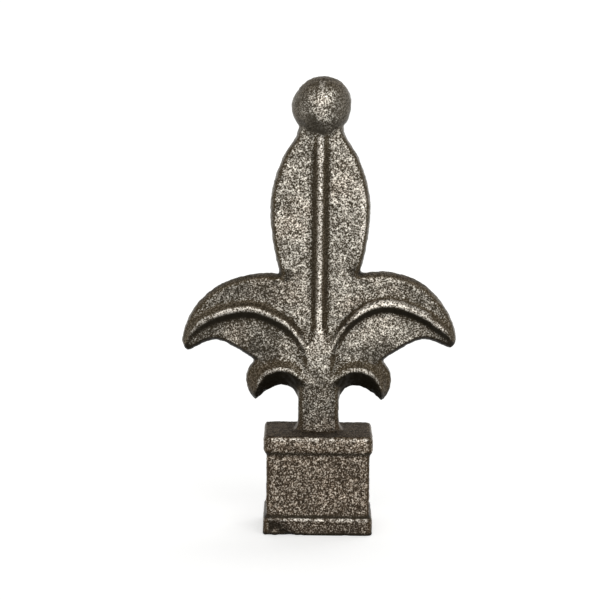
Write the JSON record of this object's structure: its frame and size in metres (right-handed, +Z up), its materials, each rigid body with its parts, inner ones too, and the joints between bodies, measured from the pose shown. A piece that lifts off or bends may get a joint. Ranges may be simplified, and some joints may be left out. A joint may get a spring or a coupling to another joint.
{
  "type": "fleur-de-lis finial",
  "caption": "Cast-iron fleur-de-lis picket finial with ribbed leaves, hooked curls, a ball top and a blind square socket.",
  "frame": {"origin": "centre of the socket's mouth, on the plane the finial stands on", "axes": "+Z up through the ball, -Y the front, +X to the right seen from the front"},
  "size_m": [0.0826, 0.033, 0.1365],
  "materials": {
    "cast_iron": "raw sand-cast grey iron, coarse speckled grain with bright worn crests"
  },
  "bodies": {
    "root": {"finial": "cast_iron"}
  },
  "joints": []
}
